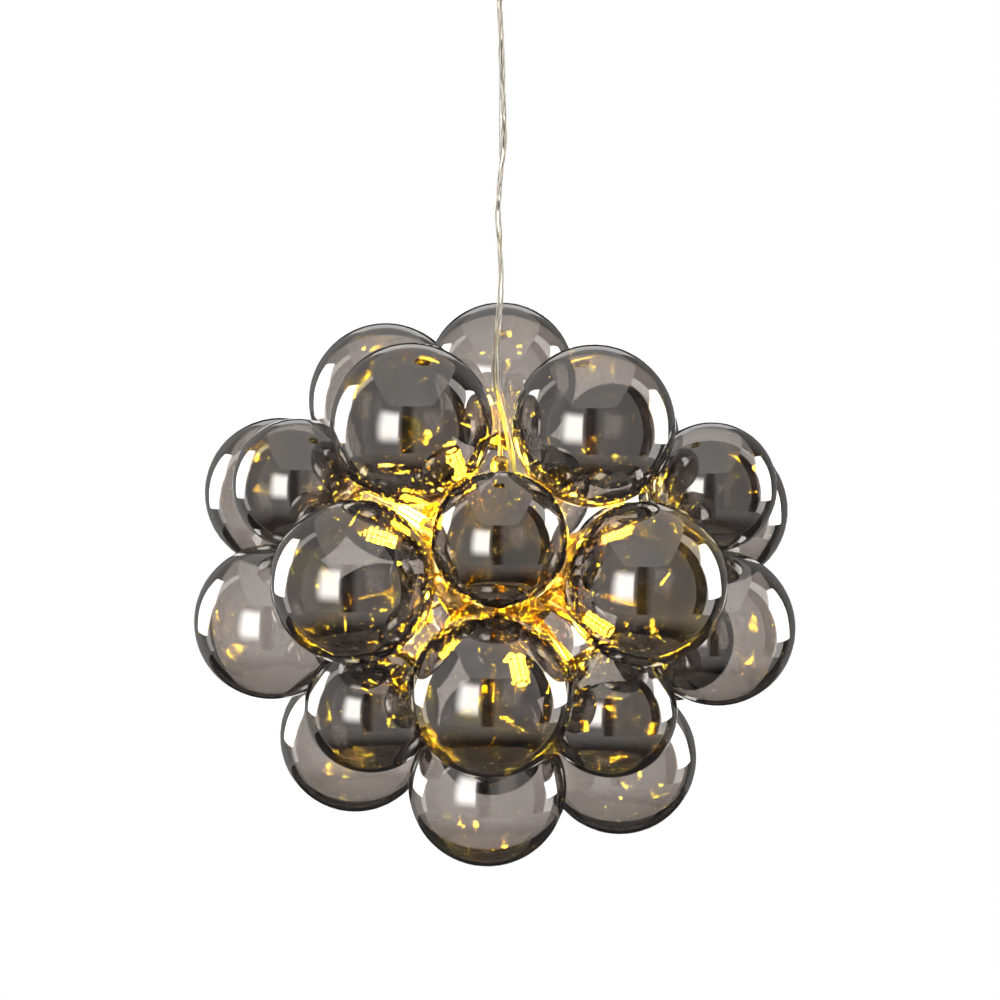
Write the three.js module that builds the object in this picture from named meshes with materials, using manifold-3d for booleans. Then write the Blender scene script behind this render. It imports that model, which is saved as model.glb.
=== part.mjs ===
// A bubble chandelier: mirrored glass balls stand on gold arms around a small round core, and the core
// also carries short gold tubes with LED bulbs in them. It hangs on a thin steel wire, with a clear cable
// beside it.
// Millimetres, +Z up. The origin is the middle of the ceiling bracket's top face, and all of it hangs below.
import * as THREE from 'three';
import { mergeVertices } from 'three/addons/utils/BufferGeometryUtils.js';
import Module from 'manifold-3d';

const wasm = await Module();
wasm.setup();

// Fits
const CLEARANCE = 0.3; // between two pieces that touch
const OVERRUN = 4; // how far a cut runs past the faces it opens
const MERGE_DISTANCE = 1e-4; // vertices nearer than this are one

// Glass balls
const LARGE_BALL_RADIUS = 65;
const SMALL_BALL_RADIUS = 53.5;
const BALL_SPACING = 1.2; // room kept round each ball
const GLASS_WALL = 1.4;
const NECK_RADIUS = 9.5; // the hole through which a ball is put on its arm
const BALL_SIDES = 12;
const BALL_BANDS = 6;

// Arms that carry the balls
const ARM_RADIUS = 2.2;
const SEAT_RADIUS = 12; // the flange that the ball's neck stands on
const SEAT_THICKNESS = 1.6;
const PLUG_LENGTH = 8; // the clip inside the neck
const HUB_RADIUS = 14;
const ARM_ROOT_RADIUS = 11; // where the arms start, inside their hub
const ARM_SIDES = 8;
const HUB_SIDES = 12;
const TOP_HUB_LOW = 11.5;
const TOP_HUB_HIGH = 22;
const BELT_HUB_LOW = 1;
const BELT_HUB_HIGH = 8;
const LOWER_HUB_LOW = -10;
const LOWER_HUB_HIGH = -3.2;
const BOTTOM_HUB_LOW = -31;
const BOTTOM_HUB_HIGH = -14.5;

// Core
const CORE_RADIUS = 57;
const CORE_WALL = 1.5;
const CORE_SIDES = 24;
const CORE_BANDS = 6;
const ROD_RADIUS = 5; // the threaded length of the stem, inside the core
const STEM_RADIUS = 8; // the stem's tube above the core
const STEM_HEIGHT = 97; // its domed top, above the middle of the core
const STEM_BORE_RADIUS = 3.4;
const STEM_ROOF = 8; // metal left between the bore and the domed top
const STEM_DOME_SHARE = 0.6; // height of the domed top, as a share of the stem's radius
const STEM_DOME_RISE_SHARE = 0.67; // its shoulder's height, as a share of the dome's
const STEM_DOME_WIDTH_SHARES = [0.85, 0.4]; // its shoulder's and flat's radii, as shares of the stem's
const STEM_SIDES = 16;
const NUT_RADIUS = 10.5;
const NUT_HEIGHT = 8;
const NUT_ROOF = 2;

// Lamps
const LAMP_TUBE_RADIUS = 8;
const LAMP_TUBE_WALL = 0.8;
const LAMP_TUBE_REACH = 27; // from the core's skin to the tube's mouth
const LAMP_SIDES = 12;
const SOCKET_LENGTH = 18;
const SOCKET_INSET = 1.5; // the socket's face lies this far inside the tube's mouth
const TONGUE_WIDTH = 9.4;
const TONGUE_THICKNESS = 4.4;
const TONGUE_LENGTH = 8; // how far the bulb's foot goes into the socket
const BULB_RADIUS = 7.5;
const BULB_FOOT_RADIUS = 6.6;
const BULB_FOOT_HEIGHT = 3;
const BULB_LENGTH = 43;
const BULB_TIP_LENGTH = 9; // the clear rounded end
const BULB_COLLAR_SHARE = 0.5; // the taper above the foot, as a share of the foot's height
const BULB_TIP_SHARES = [
  [0.85, 0.55],
  [0.45, 0.92],
]; // the rounded end's radii and heights, as shares of the bulb's radius and of the end's length
const BULB_SIDES = 10;

// Cord
const WIRE_RADIUS = 0.5;
const WIRE_DEPTH = 6; // how far the wire goes into the stem's top
const WIRE_SIDES = 8;
const CABLE_RADIUS = 2.6;
const CABLE_SIDES = 8;
const CABLE_STEP = 13; // length of one straight stretch of the cable's solid
const CABLE_PORT_X = 13.5; // where the cable goes into the core
const CABLE_PORT_CLEARANCE = 0.6;
const CABLE_OFFSET = 3.5; // the cable hangs this far in front of the wire

// Ceiling fitting
const CUP_RADIUS = 55;
const CUP_DEPTH = 44;
const CUP_WALL = 1.2;
const CUP_EDGE_RADIUS = 9;
const CUP_EDGE_STEPS = 3;
const CUP_RIM_GAP = 0.5; // between the cup's rim and the ceiling
const CUP_SIDES = 24;
const BRACKET_LENGTH = 90;
const BRACKET_WIDTH = 24;
const BRACKET_THICKNESS = 2.5;
const SLOT_LENGTH = 20;
const SLOT_WIDTH = 5;
const SLOT_END_GAP = 3; // between a slot and the bracket's end
const BOSS_RADIUS = 9;
const BOSS_HEIGHT = 6;
const BLOCK_LENGTH = 28;
const BLOCK_WIDTH = 18;
const BLOCK_HEIGHT = 13;
const BLOCK_GAP = 3; // between the bar's edge and the terminal block
const TERMINALS = 3;
const TERMINAL_RADIUS = 2.4;
const TERMINAL_DEPTH = 4;
const TUBE_RADIUS = 5; // the threaded tube that holds the cup up
const TUBE_BORE_RADIUS = 3.6;
const TUBE_LENGTH = 54;
const CUP_NUT_RADIUS = 10;
const CUP_NUT_HEIGHT = 6;
const GRIP_RADIUS = 11.5;
const GRIP_MOUTH_RADIUS = 10.4; // it narrows to this at its mouth
const GRIP_BORE_RADIUS = 9;
const GRIP_BORE_DEPTH = 10;
const GRIP_LENGTH = 20;
const GRIP_WEB = 2; // between the tube's bore and the cord's bore
const TUBE_END_GAP = 2.3; // between the tube's lower end and the grip's web
const GRIP_SIDES = 12;
const RING_THICKNESS = 2;
const RING_CLEARANCE = 0.36; // round the ring, which tilts with the cord
const RING_BORE_RADIUS = 6.7;
const PIVOT_DEPTH = 4.5; // the swing's pivot, above the grip's mouth
const CORD_START = 1.5; // the cord begins this far above the pivot
const CORD_DROP = 486.5; // from the pivot to the middle of the core

// Places of the balls. Azimuth 0 is the front and 90 the right, elevation 90 is up, both in degrees.
// The reach share is the ball's distance from the core's middle, as a share of the packing radius.
const SMALL_PACKING_SHARE = 0.823; // a small ball takes as much room as this share of a large one
const PACKING_RADIUS =
  Math.max(LARGE_BALL_RADIUS, SMALL_BALL_RADIUS / SMALL_PACKING_SHARE) + BALL_SPACING;

function place(size, azimuth, elevation, reachShare) {
  return { size, azimuth, elevation, reach: reachShare * PACKING_RADIUS };
}

const BALL_SETS = [
  {
    name: 'top',
    low: TOP_HUB_LOW,
    high: TOP_HUB_HIGH,
    balls: [
      place('large', -34.5, 49, 2.86),
      place('large', 36, 48, 2.88),
      place('large', 179.5, 51, 2.81),
      place('large', -106, 54.5, 2.59),
    ],
  },
  {
    name: 'belt',
    low: BELT_HUB_LOW,
    high: BELT_HUB_HIGH,
    balls: [
      place('small', 0, 20.5, 2.81),
      place('large', 36, 7.5, 2.96),
      place('small', 75.5, 24, 2.97),
      place('large', 110.5, 10.5, 3.01),
      place('small', 144, 25.5, 3.01),
      place('small', 171.5, 7.5, 3),
      place('large', -152.5, 10.5, 2.92),
      place('large', -111, 14, 3.16),
      place('small', -71.5, 26, 2.92),
      place('large', -36.5, 8, 2.96),
    ],
  },
  {
    name: 'lower',
    low: LOWER_HUB_LOW,
    high: LOWER_HUB_HIGH,
    balls: [
      place('large', -2, -16.5, 2.97),
      place('small', 36, -30, 2.66),
      place('large', 78, -12.5, 2.86),
      place('small', 116, -25.5, 2.84),
      place('small', 145.5, -9, 3.16),
      place('large', 173.5, -29.5, 3.22),
      place('large', -144, -28, 3),
      place('large', -82.5, -11.5, 2.96),
      place('small', -42, -29, 2.69),
    ],
  },
  {
    name: 'bottom',
    low: BOTTOM_HUB_LOW,
    high: BOTTOM_HUB_HIGH,
    balls: [
      place('large', -6, -59, 2.83),
      place('large', 76.5, -56.5, 2.85),
      place('small', -175, -65, 2.84),
      place('large', -102.5, -50.5, 3.03),
    ],
  },
];

// Directions of the lamps, in the gaps between the arms.
const LAMPS = [
  { azimuth: -91, elevation: 16.5 },
  { azimuth: 93, elevation: 19.5 },
  { azimuth: -55, elevation: 66 },
  { azimuth: -130, elevation: 17.5 },
  { azimuth: 56, elevation: -21 },
  { azimuth: 12.5, elevation: -41 },
  { azimuth: -161.5, elevation: -21.5 },
  { azimuth: -135.5, elevation: -47 },
];

// Materials
const glass = new THREE.MeshStandardMaterial({
  color: 0x4a4541,
  roughness: 0.03,
  metalness: 0.6,
  transparent: true,
  opacity: 0.6,
});
const gold = new THREE.MeshStandardMaterial({ color: 0xd09a2a, roughness: 0.25, metalness: 1 });
const steel = new THREE.MeshStandardMaterial({ color: 0xb8b8b6, roughness: 0.35, metalness: 1 });
const ledGlow = new THREE.MeshStandardMaterial({ color: 0xffd98a, roughness: 0.3, emissive: 0xffb640 });
const ceramic = new THREE.MeshStandardMaterial({ color: 0xe9e4d8, roughness: 0.6 });
const whitePlastic = new THREE.MeshStandardMaterial({ color: 0xe6e6e2, roughness: 0.5 });
const rubber = new THREE.MeshStandardMaterial({ color: 0x2b2a29, roughness: 0.8 });
const clearPvc = new THREE.MeshStandardMaterial({
  color: 0xd9d6cf,
  roughness: 0.15,
  transparent: true,
  opacity: 0.6,
});

// The unit vector of a direction given by azimuth and elevation.
function towards({ azimuth, elevation }) {
  const a = THREE.MathUtils.degToRad(azimuth);
  const e = THREE.MathUtils.degToRad(elevation);
  return new THREE.Vector3(Math.sin(a) * Math.cos(e), -Math.cos(a) * Math.cos(e), Math.sin(e));
}

// The turn that takes +Z to a direction.
function facing(direction) {
  return new THREE.Quaternion().setFromUnitVectors(new THREE.Vector3(0, 0, 1), direction);
}

// A solid from a closed geometry: vertices merged, empty triangles dropped, faces turned outwards.
function solidOf(geometry) {
  const bare = geometry.index ? geometry.toNonIndexed() : geometry.clone();
  for (const name of ['normal', 'uv']) bare.deleteAttribute(name);
  const merged = mergeVertices(bare, MERGE_DISTANCE);
  const { position } = merged.attributes;
  const corner = (i) => new THREE.Vector3().fromBufferAttribute(position, i);
  const triangles = [];
  let volume = 0;
  for (let i = 0; i < merged.index.count; i += 3) {
    const [a, b, c] = [0, 1, 2].map((k) => merged.index.getX(i + k));
    if (a === b || b === c || c === a) continue;
    triangles.push([a, b, c]);
    volume += corner(a).dot(corner(b).cross(corner(c)));
  }
  const triVerts = Uint32Array.from(triangles.flatMap(([a, b, c]) => (volume < 0 ? [a, c, b] : [a, b, c])));
  return new wasm.Manifold(
    new wasm.Mesh({ numProp: 3, vertProperties: Float32Array.from(position.array), triVerts }),
  );
}

// The geometry of a solid, for a mesh.
function geometryOf(solid) {
  const { vertProperties, triVerts } = solid.getMesh();
  const geometry = new THREE.BufferGeometry();
  geometry.setAttribute('position', new THREE.BufferAttribute(vertProperties, 3));
  geometry.setIndex(new THREE.BufferAttribute(triVerts, 1));
  geometry.computeVertexNormals();
  return geometry;
}

// A turned solid about +Z. Its outline is a list of [radius, height] that starts and ends on the axis,
// or closes on itself.
function turned(outline, sides) {
  const points = outline.map(([radius, height]) => new THREE.Vector2(radius, height));
  return solidOf(new THREE.LatheGeometry(points, sides).rotateX(Math.PI / 2));
}

function disc(radius, low, high, sides) {
  return turned([[0, low], [radius, low], [radius, high], [0, high]], sides);
}

function ring(inner, outer, low, high, sides) {
  return turned([[inner, low], [outer, low], [outer, high], [inner, high], [inner, low]], sides);
}

// Points of an arc in an outline, by angles from the downward axis.
function arc(radius, from, to, steps) {
  return Array.from({ length: steps + 1 }, (_, i) => {
    const angle = from + ((to - from) * i) / steps;
    return [radius * Math.sin(angle), -radius * Math.cos(angle)];
  });
}

// A solid that stands along +Z, turned to point along a direction from the core's middle.
function aimed(solid, direction) {
  const matrix = new THREE.Matrix4().makeRotationFromQuaternion(facing(direction));
  return solid.transform(matrix.elements);
}

function box(width, depth, low, high) {
  const geometry = new THREE.BoxGeometry(width, depth, high - low);
  return solidOf(geometry.translate(0, 0, (low + high) / 2));
}

function mesh(name, solid, material) {
  const made = new THREE.Mesh(geometryOf(solid), material);
  made.name = name;
  return made;
}

// Glass balls
const ballRadius = { large: LARGE_BALL_RADIUS, small: SMALL_BALL_RADIUS };

// How far the neck's rim lies below the ball's middle.
function neckDepth(radius) {
  return Math.sqrt(radius ** 2 - NECK_RADIUS ** 2);
}

// A hollow ball whose neck faces down, its middle at the origin.
function glassBall(radius) {
  const inside = radius - GLASS_WALL;
  const outer = arc(radius, Math.asin(NECK_RADIUS / radius), Math.PI, BALL_BANDS);
  const inner = arc(inside, Math.asin(NECK_RADIUS / inside), Math.PI, BALL_BANDS);
  outer[BALL_BANDS][0] = 0;
  inner[BALL_BANDS][0] = 0;
  return turned([...inner.reverse(), ...outer], BALL_SIDES);
}

// An arm along +Z: the rod, the flange under the neck and the clip inside it.
function ballArm(start, { size, reach }) {
  const face = reach - neckDepth(ballRadius[size]) - CLEARANCE;
  const back = face - SEAT_THICKNESS;
  const clip = NECK_RADIUS * Math.cos(Math.PI / BALL_SIDES) - CLEARANCE;
  const tip = face + PLUG_LENGTH;
  return turned(
    [
      [0, start],
      [ARM_RADIUS, start],
      [ARM_RADIUS, back - SEAT_THICKNESS],
      [SEAT_RADIUS, back],
      [SEAT_RADIUS, face],
      [clip, face],
      [clip, tip - SEAT_THICKNESS],
      [ARM_RADIUS, tip],
      [0, tip],
    ],
    ARM_SIDES,
  );
}

// One set of arms on its hub. The hub is a ring on the threaded length of the stem.
function armSet({ low, high, balls }) {
  const hub = ring(ROD_RADIUS + CLEARANCE, HUB_RADIUS, low, high, HUB_SIDES);
  return balls.reduce((joined, ball) => {
    const start = ARM_ROOT_RADIUS / Math.cos(THREE.MathUtils.degToRad(ball.elevation));
    return joined.add(aimed(ballArm(start, ball), towards(ball)));
  }, hub);
}

// Core
const tubeMouth = CORE_RADIUS + LAMP_TUBE_REACH;
const isUpper = ({ elevation }) => elevation > 0;

// The holes that every arm and the cable need in the core's shells.
function armHoles() {
  const radius = (ARM_RADIUS + CLEARANCE) / Math.cos(Math.PI / ARM_SIDES);
  const inside = CORE_RADIUS / 2;
  const outside = CORE_RADIUS + OVERRUN;
  return BALL_SETS.flatMap(({ balls }) =>
    balls.map((ball) => aimed(disc(radius, inside, outside, ARM_SIDES), towards(ball))),
  );
}

// Half of the round core, with the lamp tubes that are brazed on it.
function coreShell(upper) {
  const hole = ROD_RADIUS + CLEARANCE;
  const inside = CORE_RADIUS - CORE_WALL;
  const seam = Math.PI / 2 - CLEARANCE / 2 / CORE_RADIUS;
  const outline = [
    ...arc(CORE_RADIUS, Math.asin(hole / CORE_RADIUS), seam, CORE_BANDS),
    ...arc(inside, Math.asin(hole / inside), seam, CORE_BANDS).reverse(),
  ];
  const low = turned([...outline, outline[0]], CORE_SIDES);
  let shell = upper ? low.mirror([0, 0, 1]) : low;
  const bore = LAMP_TUBE_RADIUS - LAMP_TUBE_WALL;
  for (const lamp of LAMPS.filter((one) => isUpper(one) === upper)) {
    const tube = disc(LAMP_TUBE_RADIUS, inside, tubeMouth, LAMP_SIDES);
    shell = shell.add(aimed(tube, towards(lamp)));
  }
  const cuts = armHoles();
  for (const lamp of LAMPS) {
    const own = isUpper(lamp) === upper;
    const radius = own ? bore : LAMP_TUBE_RADIUS + CLEARANCE;
    cuts.push(aimed(disc(radius, inside - OVERRUN, tubeMouth + OVERRUN, LAMP_SIDES), towards(lamp)));
  }
  const port = disc(CABLE_RADIUS + CABLE_PORT_CLEARANCE, 0, CORE_RADIUS + OVERRUN, CABLE_SIDES);
  cuts.push(port.translate([CABLE_PORT_X, 0, 0]));
  return cuts.reduce((left, cut) => left.subtract(cut), shell);
}

// The tube that everything hangs on: a threaded length through the core and a domed tube above it.
function coreStem() {
  const shoulder = CORE_RADIUS + CLEARANCE;
  const low = -CORE_RADIUS - NUT_HEIGHT + NUT_ROOF + CLEARANCE;
  const dome = STEM_RADIUS * STEM_DOME_SHARE;
  const domeBase = STEM_HEIGHT - dome;
  const [shoulderWidth, flatWidth] = STEM_DOME_WIDTH_SHARES.map((share) => share * STEM_RADIUS);
  const stem = turned(
    [
      [0, STEM_HEIGHT - STEM_ROOF],
      [STEM_BORE_RADIUS, STEM_HEIGHT - STEM_ROOF],
      [STEM_BORE_RADIUS, low],
      [ROD_RADIUS, low],
      [ROD_RADIUS, shoulder],
      [STEM_RADIUS, shoulder],
      [STEM_RADIUS, domeBase],
      [shoulderWidth, domeBase + dome * STEM_DOME_RISE_SHARE],
      [flatWidth, STEM_HEIGHT],
      [0, STEM_HEIGHT],
    ],
    STEM_SIDES,
  );
  const hole = disc(WIRE_RADIUS + CLEARANCE, STEM_HEIGHT - WIRE_DEPTH, STEM_HEIGHT + OVERRUN, WIRE_SIDES);
  return stem.subtract(hole);
}

// The round nut under the core.
function coreNut() {
  const top = -CORE_RADIUS - CLEARANCE;
  const bottom = top - NUT_HEIGHT;
  const bore = ROD_RADIUS + CLEARANCE;
  const roof = bottom + NUT_ROOF;
  return turned(
    [
      [0, roof],
      [bore, roof],
      [bore, top],
      [NUT_RADIUS, top],
      [NUT_RADIUS, roof],
      [NUT_RADIUS - NUT_ROOF, bottom],
      [0, bottom],
    ],
    STEM_SIDES,
  );
}

// Lamps
const socketFace = tubeMouth - SOCKET_INSET;

// A ceramic socket along +Z, with the slot for the bulb's foot.
function lampSocket() {
  const radius = LAMP_TUBE_RADIUS - LAMP_TUBE_WALL - CLEARANCE;
  const body = disc(radius, socketFace - SOCKET_LENGTH, socketFace, LAMP_SIDES);
  const bottom = socketFace - TONGUE_LENGTH - CLEARANCE;
  const room = CLEARANCE + CLEARANCE;
  const slot = box(TONGUE_WIDTH + room, TONGUE_THICKNESS + room, bottom, socketFace + OVERRUN);
  return body.subtract(slot);
}

// An LED bulb along +Z: a flat foot, the lit body and its clear rounded tip.
function ledBulb() {
  const base = socketFace + CLEARANCE;
  const tip = base + BULB_LENGTH;
  const shoulder = tip - BULB_TIP_LENGTH;
  const body = turned(
    [
      [0, base],
      [BULB_FOOT_RADIUS, base],
      [BULB_FOOT_RADIUS, base + BULB_FOOT_HEIGHT],
      [BULB_RADIUS, base + BULB_FOOT_HEIGHT * (1 + BULB_COLLAR_SHARE)],
      [BULB_RADIUS, shoulder],
      ...BULB_TIP_SHARES.map(([width, height]) => [BULB_RADIUS * width, shoulder + BULB_TIP_LENGTH * height]),
      [0, tip],
    ],
    BULB_SIDES,
  );
  return body.add(box(TONGUE_WIDTH, TONGUE_THICKNESS, socketFace - TONGUE_LENGTH, base + CLEARANCE));
}

// Ceiling fitting. Heights are from the ceiling.
const cupBottom = -CUP_RIM_GAP - CUP_DEPTH;
const nutTop = cupBottom - CLEARANCE;
const nutBottom = nutTop - CUP_NUT_HEIGHT;
const boreRadius = TUBE_RADIUS + CLEARANCE;
const tubeTop = -BRACKET_THICKNESS - CLEARANCE;
const tubeBottom = tubeTop - TUBE_LENGTH;

// The grip is screwed on the tube's end, with its web just below it and its top under the cup's nut.
const gripWebTop = GRIP_BORE_DEPTH + GRIP_WEB;
const gripThread = GRIP_LENGTH - gripWebTop - TUBE_END_GAP;
const gripTop = Math.min(nutBottom - CLEARANCE, tubeBottom + gripThread);
const gripMouth = gripTop - GRIP_LENGTH;
const pivotHeight = gripMouth + PIVOT_DEPTH;

// The flat bar under the ceiling, with its two screw slots, a tab for the terminal block and a boss.
function ceilingBracket() {
  const halfLength = BRACKET_LENGTH / 2;
  const halfWidth = BRACKET_WIDTH / 2;
  const tabEnd = -halfWidth - BLOCK_GAP - BLOCK_WIDTH;
  const halfTab = BLOCK_LENGTH / 2;
  const bar = new THREE.Shape([
    new THREE.Vector2(-halfLength, halfWidth),
    new THREE.Vector2(-halfLength, -halfWidth),
    new THREE.Vector2(-halfTab, -halfWidth),
    new THREE.Vector2(-halfTab, tabEnd),
    new THREE.Vector2(halfTab, tabEnd),
    new THREE.Vector2(halfTab, -halfWidth),
    new THREE.Vector2(halfLength, -halfWidth),
    new THREE.Vector2(halfLength, halfWidth),
  ]);
  const plate = new THREE.ExtrudeGeometry(bar, { depth: BRACKET_THICKNESS, bevelEnabled: false });
  const slotPlace = halfLength - SLOT_END_GAP - SLOT_LENGTH / 2;
  const cutSlot = box(SLOT_LENGTH, SLOT_WIDTH, -BRACKET_THICKNESS - OVERRUN, OVERRUN);
  const bossLow = -BRACKET_THICKNESS - BOSS_HEIGHT;
  const boss = disc(BOSS_RADIUS, bossLow, -BRACKET_THICKNESS / 2, HUB_SIDES);
  return solidOf(plate.translate(0, 0, -BRACKET_THICKNESS))
    .subtract(cutSlot.translate([slotPlace, 0, 0]))
    .subtract(cutSlot.translate([-slotPlace, 0, 0]))
    .add(boss)
    .subtract(disc(boreRadius, bossLow - OVERRUN, -BRACKET_THICKNESS, HUB_SIDES));
}

// The white terminal block under the bracket's tab, with its screw holes.
function terminalBlock() {
  const top = -BRACKET_THICKNESS - CLEARANCE;
  const bottom = top - BLOCK_HEIGHT;
  const middle = -BRACKET_WIDTH / 2 - BLOCK_GAP - BLOCK_WIDTH / 2;
  const step = BLOCK_LENGTH / TERMINALS;
  const screwHole = disc(TERMINAL_RADIUS, bottom - OVERRUN, bottom + TERMINAL_DEPTH, ARM_SIDES);
  let block = box(BLOCK_LENGTH, BLOCK_WIDTH, bottom, top);
  for (let i = 0; i < TERMINALS; i += 1) {
    block = block.subtract(screwHole.translate([(i - (TERMINALS - 1) / 2) * step, 0, 0]));
  }
  return block.translate([0, middle, 0]);
}

// The open cup that hides the bracket.
function ceilingCup() {
  const edge = CUP_EDGE_RADIUS;
  const inner = edge - CUP_WALL;
  const shift = ([radius, height]) => [radius + CUP_RADIUS - edge, height + cupBottom + edge];
  const outline = [
    [boreRadius, cupBottom],
    ...arc(edge, 0, Math.PI / 2, CUP_EDGE_STEPS).map(shift),
    [CUP_RADIUS, -CUP_RIM_GAP],
    [CUP_RADIUS - CUP_WALL, -CUP_RIM_GAP],
    ...arc(inner, 0, Math.PI / 2, CUP_EDGE_STEPS).reverse().map(shift),
    [boreRadius, cupBottom + CUP_WALL],
  ];
  return turned([...outline, outline[0]], CUP_SIDES);
}

// The brass grip on the tube's lower end. The cord leaves through its mouth.
function cordGrip() {
  const webTop = gripMouth + gripWebTop;
  const boreTop = gripMouth + GRIP_BORE_DEPTH;
  const outline = [
    [boreRadius, gripTop],
    [GRIP_RADIUS, gripTop],
    [GRIP_RADIUS, boreTop],
    [GRIP_MOUTH_RADIUS, gripMouth],
    [GRIP_BORE_RADIUS, gripMouth],
    [GRIP_BORE_RADIUS, boreTop],
    [TUBE_BORE_RADIUS, boreTop],
    [TUBE_BORE_RADIUS, webTop],
    [boreRadius, webTop],
  ];
  return turned([...outline, outline[0]], GRIP_SIDES);
}

function gripRing() {
  const half = RING_THICKNESS / 2;
  const side = Math.cos(Math.PI / GRIP_SIDES);
  const outer = GRIP_BORE_RADIUS - RING_CLEARANCE;
  return ring(RING_BORE_RADIUS / side, outer, pivotHeight - half, pivotHeight + half, GRIP_SIDES);
}

// Cord. Heights are from the middle of the core.
const cordTop = CORD_DROP + CORD_START;

// The cable's route, from the grip to its port in the core. It hangs slack beside the taut wire.
const CABLE_ROUTE = [
  [0, -CABLE_OFFSET, cordTop],
  [0, -CABLE_OFFSET, 472],
  [1.5, -CABLE_OFFSET, 430],
  [2.7, -CABLE_OFFSET, 396],
  [3.4, -CABLE_OFFSET, 363],
  [1.6, -CABLE_OFFSET, 340],
  [-0.6, -CABLE_OFFSET, 318],
  [-1.4, -CABLE_OFFSET, 299],
  [0, -CABLE_OFFSET, 277],
  [1, -CABLE_OFFSET, 248],
  [0.4, -CABLE_OFFSET, 228],
  [-2.2, -CABLE_OFFSET, 202],
  [-3.6, -CABLE_OFFSET, 180],
  [-2.4, -CABLE_OFFSET, 154],
  [2.7, -4.4, 133],
  [7.2, -5, 113],
  [10.8, -4.2, 95],
  [12.9, -2, 76],
  [CABLE_PORT_X, 0, 60],
  [CABLE_PORT_X, 0, 50],
  [CABLE_PORT_X, 0, 40],
];

function powerCable() {
  const path = new THREE.CatmullRomCurve3(CABLE_ROUTE.map((point) => new THREE.Vector3(...point)));
  const section = new THREE.Shape(
    Array.from({ length: CABLE_SIDES }, (_, i) => {
      const angle = (2 * Math.PI * i) / CABLE_SIDES;
      return new THREE.Vector2(CABLE_RADIUS * Math.cos(angle), CABLE_RADIUS * Math.sin(angle));
    }),
  );
  const steps = Math.ceil(path.getLength() / CABLE_STEP);
  return solidOf(new THREE.ExtrudeGeometry(section, { steps, bevelEnabled: false, extrudePath: path }));
}

function suspensionWire() {
  const bottom = STEM_HEIGHT - WIRE_DEPTH + CLEARANCE;
  return disc(WIRE_RADIUS, bottom, cordTop, WIRE_SIDES);
}

// The fitting on the ceiling
const chandelier = new THREE.Group();
chandelier.add(mesh('ceiling_bracket', ceilingBracket(), steel));
chandelier.add(mesh('terminal_block', terminalBlock(), whitePlastic));
const threadedTube = ring(TUBE_BORE_RADIUS, TUBE_RADIUS, tubeBottom, tubeTop, HUB_SIDES);
chandelier.add(mesh('ceiling_tube', threadedTube, gold));
chandelier.add(mesh('ceiling_cup', ceilingCup(), gold));
chandelier.add(mesh('cup_nut', ring(boreRadius, CUP_NUT_RADIUS, nutBottom, nutTop, GRIP_SIDES), gold));
chandelier.add(mesh('cord_grip', cordGrip(), gold));
chandelier.add(mesh('grip_ring', gripRing(), rubber));

// The lamp that hangs on the cord, in a group whose origin is the middle of the core
const lamp = new THREE.Group();
lamp.position.z = pivotHeight - CORD_DROP;
chandelier.add(lamp);
lamp.add(mesh('suspension_wire', suspensionWire(), steel));
lamp.add(mesh('power_cable', powerCable(), clearPvc));
lamp.add(mesh('core_stem', coreStem(), gold));
lamp.add(mesh('core_nut', coreNut(), gold));
lamp.add(mesh('core_upper_shell', coreShell(true), gold));
lamp.add(mesh('core_lower_shell', coreShell(false), gold));

const balls = { large: glassBall(LARGE_BALL_RADIUS), small: glassBall(SMALL_BALL_RADIUS) };
for (const set of BALL_SETS) {
  lamp.add(mesh(`${set.name}_ball_arms`, armSet(set), gold));
  set.balls.forEach((ball, i) => {
    const direction = towards(ball);
    const made = mesh(`${set.name}_ball_${i + 1}`, balls[ball.size], glass);
    made.position.copy(direction).multiplyScalar(ball.reach);
    made.quaternion.copy(facing(direction));
    lamp.add(made);
  });
}

LAMPS.forEach((one, i) => {
  const turn = facing(towards(one));
  const socket = mesh(`lamp_socket_${i + 1}`, lampSocket(), ceramic);
  const bulb = mesh(`led_bulb_${i + 1}`, ledBulb(), ledGlow);
  for (const piece of [socket, bulb]) {
    piece.quaternion.copy(turn);
    lamp.add(piece);
  }
});

export default chandelier;
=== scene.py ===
"""A bubble chandelier: half-mirrored smoky glass balls and small LED lamps on gold arms round a core."""
import math

import bmesh
import bpy
import numpy as np
from mathutils import Matrix, Vector, noise


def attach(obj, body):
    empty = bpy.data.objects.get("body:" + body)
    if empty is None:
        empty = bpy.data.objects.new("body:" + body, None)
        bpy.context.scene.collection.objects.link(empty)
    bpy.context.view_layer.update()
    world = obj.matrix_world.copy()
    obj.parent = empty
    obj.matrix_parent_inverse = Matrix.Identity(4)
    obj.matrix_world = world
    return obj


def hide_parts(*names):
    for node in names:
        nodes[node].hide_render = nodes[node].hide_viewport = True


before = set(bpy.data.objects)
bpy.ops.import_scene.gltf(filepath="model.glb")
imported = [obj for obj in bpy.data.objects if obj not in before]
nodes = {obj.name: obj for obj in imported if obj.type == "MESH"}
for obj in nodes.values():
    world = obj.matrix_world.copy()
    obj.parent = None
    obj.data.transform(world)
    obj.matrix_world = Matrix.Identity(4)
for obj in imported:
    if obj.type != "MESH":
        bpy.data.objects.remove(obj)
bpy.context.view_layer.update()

MM = 0.001
UP = Vector((0, 0, 1))
CORE = Vector((0, 0, -553.1)) * MM  # the middle of the round core

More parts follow.
